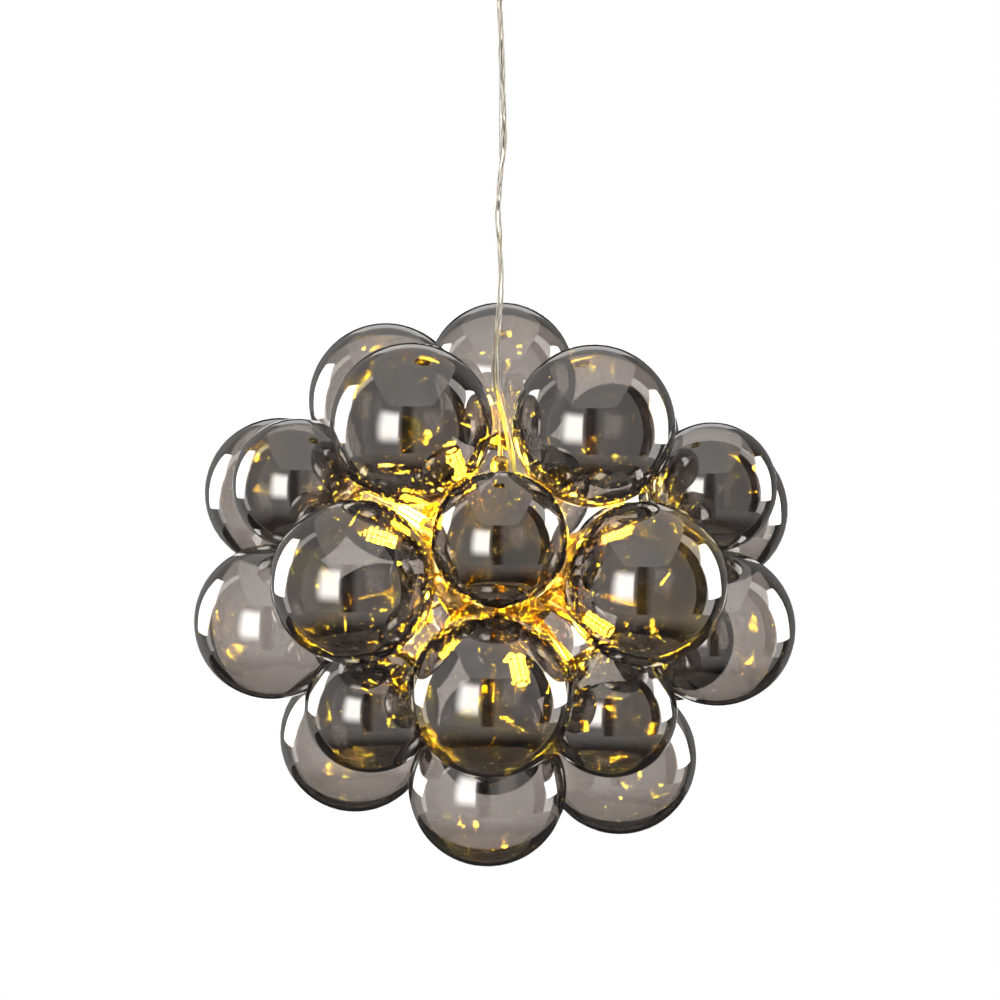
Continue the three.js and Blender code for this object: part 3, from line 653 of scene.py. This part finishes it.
# Bulbs: rows of LEDs round a stick, each a pad with a brighter chip on it, under a clear sleeve
def led_rows():
    """Geometry Nodes: rows of flat blocks round a stick, from one line of points that is wound up."""
    tree = bpy.data.node_groups.new("led_rows", "GeometryNodeTree")
    interface = tree.interface
    interface.new_socket("Geometry", in_out="INPUT", socket_type="NodeSocketGeometry")
    for label in ("Rows", "Pads Around"):
        interface.new_socket(label, in_out="INPUT", socket_type="NodeSocketInt")
    for label in ("Row Step", "Ring Radius", "Pad Height", "Pad Width", "Pad Thickness"):
        interface.new_socket(label, in_out="INPUT", socket_type="NodeSocketFloat")
    interface.new_socket("Material", in_out="INPUT", socket_type="NodeSocketMaterial")
    interface.new_socket("Geometry", in_out="OUTPUT", socket_type="NodeSocketGeometry")
    given = add_node(tree, "NodeGroupInput")
    total = add_node(tree, "ShaderNodeMath", {"operation": "MULTIPLY"},
                     links={0: given.outputs["Rows"], 1: given.outputs["Pads Around"]})
    points = add_node(tree, "GeometryNodePoints", links={"Count": total.outputs["Value"]})
    index = add_node(tree, "GeometryNodeInputIndex")
    turn_count = add_node(tree, "ShaderNodeMath", {"operation": "DIVIDE"},
                          links={0: index.outputs["Index"], 1: given.outputs["Pads Around"]})
    row = add_node(tree, "ShaderNodeMath", {"operation": "FLOOR"}, links={0: turn_count.outputs["Value"]})
    angle = add_node(tree, "ShaderNodeMath", {"operation": "MULTIPLY"}, {1: 2 * math.pi},
                     {0: turn_count.outputs["Value"]})
    cosine = add_node(tree, "ShaderNodeMath", {"operation": "COSINE"}, links={0: angle.outputs["Value"]})
    sine = add_node(tree, "ShaderNodeMath", {"operation": "SINE"}, links={0: angle.outputs["Value"]})
    x = add_node(tree, "ShaderNodeMath", {"operation": "MULTIPLY"},
                 links={0: cosine.outputs["Value"], 1: given.outputs["Ring Radius"]})
    y = add_node(tree, "ShaderNodeMath", {"operation": "MULTIPLY"},
                 links={0: sine.outputs["Value"], 1: given.outputs["Ring Radius"]})
    z = add_node(tree, "ShaderNodeMath", {"operation": "MULTIPLY"},
                 links={0: row.outputs["Value"], 1: given.outputs["Row Step"]})
    spot = add_node(tree, "ShaderNodeCombineXYZ",
                    links={"X": x.outputs["Value"], "Y": y.outputs["Value"], "Z": z.outputs["Value"]})
    spread = add_node(tree, "GeometryNodeSetPosition",
                      links={"Geometry": points.outputs[0], "Position": spot.outputs["Vector"]})
    size = add_node(tree, "ShaderNodeCombineXYZ", links={
        "X": given.outputs["Pad Thickness"], "Y": given.outputs["Pad Width"],
        "Z": given.outputs["Pad Height"],
    })
    pad = add_node(tree, "GeometryNodeMeshCube", links={"Size": size.outputs["Vector"]})
    aim = add_node(tree, "ShaderNodeCombineXYZ", links={"Z": angle.outputs["Value"]})
    copies = add_node(tree, "GeometryNodeInstanceOnPoints", links={
        "Points": spread.outputs["Geometry"], "Instance": pad.outputs["Mesh"],
        "Rotation": aim.outputs["Vector"],
    })
    real = add_node(tree, "GeometryNodeRealizeInstances", links={"Geometry": copies.outputs["Instances"]})
    lit = add_node(tree, "GeometryNodeSetMaterial",
                   links={"Geometry": real.outputs["Geometry"], "Material": given.outputs["Material"]})
    add_node(tree, "NodeGroupOutput", links={"Geometry": lit.outputs["Geometry"]})
    return tree


def grown(name, tree, inputs):
    """Runs a tree and gives back the plain mesh that it makes."""
    carrier = bpy.data.objects.new(name + "_carrier", bpy.data.meshes.new(name + "_start"))
    scene.collection.objects.link(carrier)
    run = carrier.modifiers.new("grow", "NODES")
    run.node_group = tree
    sockets = {item.name: item.identifier for item in tree.interface.items_tree if item.in_out == "INPUT"}
    for label, value in inputs.items():
        run[sockets[label]] = value
    shown = bpy.context.evaluated_depsgraph_get()
    made = bpy.data.meshes.new_from_object(carrier.evaluated_get(shown))
    bpy.data.objects.remove(carrier)
    made.name = name
    return made


def add_copy(mesh, source, material_index):
    """Adds a plain mesh to a bmesh, all in one material."""
    first = len(mesh.faces)
    mesh.from_mesh(source)
    mesh.faces.ensure_lookup_table()
    for face in mesh.faces[first:]:
        face.material_index = material_index


LED_ROWS = {"Rows": 6, "Pads Around": 8, "Row Step": 4.6, "Ring Radius": 5.75}
LED_PAD_SIZE = {"Pad Height": 3.0, "Pad Width": 3.1, "Pad Thickness": 0.8}
LED_CHIP_SIZE = {"Pad Height": 2.8, "Pad Width": 2.9, "Pad Thickness": 1.0}
# A bulb's materials, and which number each has in its mesh
BULB_MATERIALS = [LED_PAD, SUBSTRATE, CLEAR_TIP, LED_CHIP]
PADS, STICK_AND_FOOT, SLEEVE, CHIPS = range(4)

led_tree = led_rows()
pads = grown("led_pads", led_tree, {**LED_ROWS, **LED_PAD_SIZE, "Material": LED_PAD})
chips = grown("led_chips", led_tree, {**LED_ROWS, **LED_CHIP_SIZE, "Material": LED_CHIP})
base = TUBE_REACH - SOCKET_INSET + CLEARANCE
tip = base + BULB_LENGTH
stick_top = base + STICK_LENGTH
foot_end = TUBE_REACH - SOCKET_INSET - FOOT[2]
stick_outline = [
    (0, base), (COLLAR, base), (COLLAR, base + 3.6), (STICK, base + 4.2), (STICK, stick_top - 0.6),
    (STICK - 0.6, stick_top), (0, stick_top),
]
end_led_outline = [
    (0, stick_top + 0.1), (END_LED, stick_top + 0.1), (END_LED, stick_top + 0.9), (0, stick_top + 0.9),
]
sleeve_outline = [
    (0, tip - 5.2), (3.4, tip - 5.6), (5.9, tip - 7.6), (SLEEVE_BORE, tip - 10.2), (SLEEVE_BORE, base + 4.0),
    (BULB - 0.1, base + 4.6), (BULB, base + 5.4), (BULB, tip - 9.4), (BULB - 0.2, tip - 7.6),
    (BULB - 0.9, tip - 5.0), (BULB - 2.2, tip - 2.6), (BULB - 4.2, tip - 0.8), (1.2, tip - 0.1), (0, tip),
]
foot_place = Matrix.Translation((0, 0, (base + foot_end) / 2)) @ Matrix.Diagonal(
    (FOOT[0], FOOT[1], base - foot_end, 1))

for number, (azimuth, elevation) in enumerate(LAMPS, 1):
    place = aimed(towards(azimuth, elevation))
    mesh = bmesh.new()
    add_copy(mesh, pads, PADS)
    add_copy(mesh, chips, CHIPS)
    bmesh.ops.translate(mesh, verts=mesh.verts, vec=Vector((0, 0, base + FIRST_ROW)))
    bmesh.ops.transform(mesh, matrix=place, verts=mesh.verts)
    add_turned(mesh, stick_outline, STICK_SIDES, place, STICK_AND_FOOT)
    add_turned(mesh, end_led_outline, END_LED_SIDES, place, CHIPS)
    foot = bmesh.ops.create_cube(mesh, size=1.0, matrix=place @ foot_place)
    for vertex in foot["verts"]:
        for face in vertex.link_faces:
            face.material_index = STICK_AND_FOOT
    add_turned(mesh, sleeve_outline, TUBE_SIDES, place, SLEEVE)
    bulb = finish_mesh(f"led_lamp_{number}", mesh, BULB_MATERIALS, smooth_angle=35)
    placed(bulb, f"bulb_{number}", f"led_bulb_{number}")


# Ceiling fitting: each piece hangs under the one before it, on the threaded tube
cup_hole = CUP_TUBE + CLEARANCE
cup = turned_object("ceiling_cup_gold", [
    (cup_hole, CUP_LOW), (CUP - 9.8, CUP_LOW), (CUP - 6.1, CUP_LOW + 0.6), (CUP - 3.0, CUP_LOW + 2.4),
    (CUP - 0.8, CUP_LOW + 5.2), (CUP, CUP_LOW + 8.8), (CUP, -1.1), (CUP - 0.3, -0.55), (CUP - 0.9, -0.55),
    (CUP - CUP_WALL, -1.1), (CUP - CUP_WALL, CUP_LOW + 9.1), (CUP - 1.9, CUP_LOW + 6.0),
    (CUP - 3.8, CUP_LOW + 3.3), (CUP - 6.6, CUP_LOW + 1.7), (CUP - 9.8, CUP_LOW + CUP_WALL),
    (cup_hole, CUP_LOW + CUP_WALL),
], GOLD, CUP_SIDES, FROM_CEILING)
placed(cup, "ceiling", "ceiling_cup")

cup_nut_top = CUP_LOW - CLEARANCE
cup_nut_low = cup_nut_top - CUP_NUT_HEIGHT
cup_nut = turned_object("cup_nut_gold", [
    (cup_hole, cup_nut_top), (CUP_NUT - 0.5, cup_nut_top), (CUP_NUT, cup_nut_top - 0.5),
    (CUP_NUT, cup_nut_low + 0.5), (CUP_NUT - 0.5, cup_nut_low), (cup_hole, cup_nut_low),
], GOLD, PART_SIDES, FROM_CEILING)
placed(cup_nut, "ceiling", "cup_nut")

# The thread is rings of half a turn's height, in and out by its depth
half_turns = range(2 * THREAD_TURNS + 1)
thread = [(CUP_TUBE - THREAD_DEPTH * (i % 2), THREAD_TOP - THREAD_LENGTH * i / (2 * THREAD_TURNS))
          for i in half_turns]
bore = [(CUP_TUBE_BORE, THREAD_TOP), (CUP_TUBE_BORE, THREAD_TOP - THREAD_LENGTH)]
tube = turned_object("threaded_tube", [bore[0], *thread, bore[1]], GOLD, TUBE_SIDES, FROM_CEILING,
                     smooth_angle=80)
placed(tube, "ceiling", "ceiling_tube")

grip_top = cup_nut_low - CLEARANCE
grip_low = grip_top - 20.0
grip = turned_object("cord_grip_gold", [
    (cup_hole, grip_top), (GRIP - 0.6, grip_top), (GRIP, grip_top - 0.6), (GRIP, grip_top - 9.7),
    (GRIP - 0.2, grip_top - 10.3), (GRIP - 1.0, grip_low + 0.5), (GRIP - 1.4, grip_low),
    (GRIP_BORE + 0.3, grip_low), (GRIP_BORE, grip_low + 0.3), (GRIP_BORE, grip_top - 10.0),
    (CUP_TUBE_BORE, grip_top - 10.0), (CUP_TUBE_BORE, grip_top - 8.0), (cup_hole, grip_top - 8.0),
], GOLD, PART_SIDES, FROM_CEILING)
placed(grip, "ceiling", "cord_grip")

ring = turned_object("grip_ring_rubber", [
    (RING_BORE, RING_MIDDLE - 0.4), (RING_BORE + 0.25, RING_MIDDLE - 0.95), (RING - 0.3, RING_MIDDLE - 0.95),
    (RING, RING_MIDDLE - 0.5), (RING, RING_MIDDLE + 0.5), (RING - 0.3, RING_MIDDLE + 0.95),
    (RING_BORE + 0.25, RING_MIDDLE + 0.95), (RING_BORE, RING_MIDDLE + 0.4),
], RUBBER, PART_SIDES, FROM_CEILING)
placed(ring, "ring", "grip_ring")

# The CAD pieces whose shape is right only get a better finish
finishes = {"ceiling_bracket": ZINC_PLATE, "terminal_block": NYLON}
for number in range(1, len(LAMPS) + 1):
    finishes[f"lamp_socket_{number}"] = CERAMIC
for node_name, material in finishes.items():
    piece = nodes[node_name]
    piece.data.materials.clear()
    piece.data.materials.append(material)


# Studio: a white room, with grey boards, one soft window and dark flags that the gold and the glass mirror
def glow(name, strength, rim=None, edges=()):
    """Even light, or light that fades to the rim's over shares of the left, right, low and high side."""
    made, tree = new_material(name)
    values = {"Color": linear("FFFEFC"), "Strength": strength}
    links = {}
    if edges:
        place = add_node(tree, "ShaderNodeTexCoord")
        split = add_node(tree, "ShaderNodeSeparateXYZ", links={"Vector": place.outputs["UV"]})
        shape = None
        for index, share in enumerate(edges):
            ends = {"From Min": float(index % 2), "From Max": 1.0 - share if index % 2 else share}
            fade = add_node(tree, "ShaderNodeMapRange", {"interpolation_type": "SMOOTHSTEP"}, ends,
                            {"Value": split.outputs["XXYY"[index]]})
            joined = {0: fade.outputs["Result"], 1: shape or fade.outputs["Result"]}
            shape = add_node(tree, "ShaderNodeMath", {"operation": "MULTIPLY" if shape else "MINIMUM"},
                             links=joined).outputs["Value"]
        level = add_node(tree, "ShaderNodeMapRange", values={"To Min": rim, "To Max": strength},
                         links={"Value": shape})
        values.pop("Strength")
        links = {"Strength": level.outputs["Result"]}
    light = add_node(tree, "ShaderNodeEmission", values=values, links=links)
    add_node(tree, "ShaderNodeOutputMaterial", links={"Surface": light.outputs["Emission"]})
    return made


def stage_mesh(name, data, material):
    """Puts a mesh in the studio. The camera looks through it, and it throws no shadow."""
    data.materials.append(material)
    made = bpy.data.objects.new(name, data)
    scene.collection.objects.link(made)
    made.visible_camera = False
    made.visible_shadow = False
    return made


def board(name, azimuths, elevations, reach, material):
    """A curved board round the lamp, between two azimuths and two elevations, at a reach in metres."""
    mesh = bmesh.new()
    wide, high = 16, 8
    uv = mesh.loops.layers.uv.new("UVMap")
    grid = []
    for j in range(high + 1):
        elevation = elevations[0] + (elevations[1] - elevations[0]) * j / high
        turns = [azimuths[0] + (azimuths[1] - azimuths[0]) * i / wide for i in range(wide + 1)]
        grid.append([mesh.verts.new(CORE + reach * towards(azimuth, elevation)) for azimuth in turns])
    for j in range(high):
        for i in range(wide):
            corners = ((i, j), (i + 1, j), (i + 1, j + 1), (i, j + 1))
            face = mesh.faces.new([grid[v][u] for u, v in corners])
            for loop, (u, v) in zip(face.loops, corners):
                loop[uv].uv = (u / wide, v / high)
    data = bpy.data.meshes.new(name)
    mesh.to_mesh(data)
    mesh.free()
    stage_mesh(name, data, material)


def flat_board(name, corners, faces, material):
    """A flat board from its corners."""
    data = bpy.data.meshes.new(name)
    data.from_pydata(corners, [], faces)
    stage_mesh(name, data, material)


# Each curved board: azimuths, elevations, reach in metres and light. One that fades also has the light at its
# rim, and over which share of its left, right, low and high side it fades
BOARDS = {
    "left_board": ((-71, -15), (-47, 60), 5.2, (0.34,)),
    "window": ((-52, -15), (-18, 31), 5.0, (4.0, 0.34, (0.45, 0.1, 0.35, 0.25))),
    "left_return": ((-99, -71), (-47, 60), 5.2, (0.27,)),
    "right_board": ((10, 70), (-47, 60), 5.2, (0.25,)),
    "right_flag": ((70, 90), (-47, 60), 5.2, (0.03,)),
    "front_flag": ((-15, 10), (-47, 60), 5.1, (0.02, 0.26, (0.2, 0.5, 0.02, 0.12))),
    "back_left": ((-161, -110), (-36, 60), 5.3, (0.28,)),
    "back_right": ((110, 161), (-36, 60), 5.3, (0.2, 0.04, (0.7, 0.02, 0.02, 0.02))),
    "low_flag": ((-110, 110), (-89, -28), 5.05, (0.02, 0.28, (0.02, 0.02, 0.02, 0.4))),
    "low_back": ((110, 250), (-89, -30), 5.25, (0.03,)),
}
for name, (azimuths, elevations, reach, light) in BOARDS.items():
    board(name, azimuths, elevations, reach, glow(f"{name}_light", *light))

CEILING_BOARD = ((-2.5, -7.5, 3), (2.5, -7.5, 3), (2.5, 4.5, 3), (-2.5, 4.5, 3))
flat_board("ceiling_board", [CORE + Vector(c) for c in CEILING_BOARD], [(0, 1, 2, 3)],
           glow("ceiling_light", 0.46))

# Two big white softboxes behind the lamp, left and right, each an outline of azimuths and elevations
SOFTBOX_REACH = 5.1
SOFTBOX_LIGHT = 5.0
SOFTBOXES = {
    "left_softbox": ((-99, -2), (-98, 16), (-114, 31), (-130, 20), (-133, -8), (-135, -15), (-106, -16)),
    "right_softbox": ((91, 0), (89, 20), (110, 30), (125, 21), (124, -7), (127, -15), (94, -15)),
}
for name, outline in SOFTBOXES.items():
    corners = [CORE + SOFTBOX_REACH * towards(*c) for c in outline]
    flat_board(name, corners, [tuple(range(len(corners)))], glow(f"{name}_light", SOFTBOX_LIGHT))

# The backdrop is a white field that just fills the picture, in a tall black frame
FIELD_REACH = 5.1
FRAME_REACH = 5.0
FIELD_HALF = (1.06, 1.06)
FRAME_HALF = (1.78, 2.9)
SIGHT = (CORE - camera.location).normalized()
ACROSS = Vector((1, 0, 0))
RISE = ACROSS.cross(SIGHT)


def upright(reach, half):
    """The corners of an upright board across the camera's view, from its half width and half height."""
    signs = ((-1, -1), (1, -1), (1, 1), (-1, 1))
    return [CORE + reach * SIGHT + ACROSS * x * half[0] + RISE * z * half[1] for x, z in signs]


flat_board("backdrop_field", upright(FIELD_REACH, FIELD_HALF), [(0, 1, 2, 3)], glow("backdrop_light", 3.2))
flat_board("dark_frame", upright(FRAME_REACH, FIELD_HALF) + upright(FRAME_REACH, FRAME_HALF),
           [(k, (k + 1) % 4, 4 + (k + 1) % 4, 4 + k) for k in range(4)], glow("dark_frame_light", 0.03))

# The floor is pale, looks white to the camera, and isn't seen in the mirrors
FLOOR_RADIUS = 1.2
FLOOR_HEIGHT = -2.4  # metres from the ceiling
FLOOR_SIDES = 48
floor_paint, floor_tree = new_material("pale_floor")
path = add_node(floor_tree, "ShaderNodeLightPath")
pale = add_node(floor_tree, "ShaderNodeBsdfDiffuse", values={"Color": linear("C9C7C4")})
white = add_node(floor_tree, "ShaderNodeEmission", values={"Strength": 1.0})
seen = add_node(floor_tree, "ShaderNodeMixShader", links={
    0: path.outputs["Is Camera Ray"], 1: pale.outputs["BSDF"], 2: white.outputs["Emission"]})
add_node(floor_tree, "ShaderNodeOutputMaterial", links={"Surface": seen.outputs["Shader"]})
angles = [2 * math.pi * k / FLOOR_SIDES for k in range(FLOOR_SIDES)]
rim = [(FLOOR_RADIUS * math.cos(a), FLOOR_RADIUS * math.sin(a), FLOOR_HEIGHT) for a in angles]
floor_data = bpy.data.meshes.new("floor")
floor_data.from_pydata(rim, [], [tuple(range(FLOOR_SIDES))])
floor = stage_mesh("floor", floor_data, floor_paint)
floor.visible_camera = True
floor.visible_shadow = True
floor.visible_glossy = False

# The room is white to the camera, the gold and the glass, and dimmer as a light
world = bpy.data.worlds.new("white_room")
world.use_nodes = True
world.node_tree.nodes.clear()
rays = add_node(world.node_tree, "ShaderNodeLightPath")
seen = add_node(world.node_tree, "ShaderNodeMath", {"operation": "ADD"},
                links={0: rays.outputs["Is Camera Ray"], 1: rays.outputs["Is Glossy Ray"]})
seen = add_node(world.node_tree, "ShaderNodeMath", {"operation": "ADD", "use_clamp": True},
                links={0: seen.outputs["Value"], 1: rays.outputs["Is Transmission Ray"]})
level = add_node(world.node_tree, "ShaderNodeMapRange", values={"To Min": 0.35, "To Max": 1.0},
                 links={"Value": seen.outputs["Value"]})
room = add_node(world.node_tree, "ShaderNodeBackground", values={"Color": linear("FFFFFF")},
                links={"Strength": level.outputs["Result"]})
add_node(world.node_tree, "ShaderNodeOutputWorld", links={"Surface": room.outputs["Background"]})
scene.world = world

scene.view_settings.view_transform = "Standard"

# The LEDs' light reaches the eye through many balls, so it needs many bounces
scene.cycles.max_bounces = 32
scene.cycles.transmission_bounces = 32
scene.cycles.glossy_bounces = 16
scene.cycles.diffuse_bounces = 3
scene.cycles.caustics_reflective = True
scene.cycles.caustics_refractive = True
scene.cycles.blur_glossy = 0.0
scene.cycles.sample_clamp_indirect = 180.0
scene.cycles.use_denoising = True
scene.cycles.denoising_prefilter = "ACCURATE"
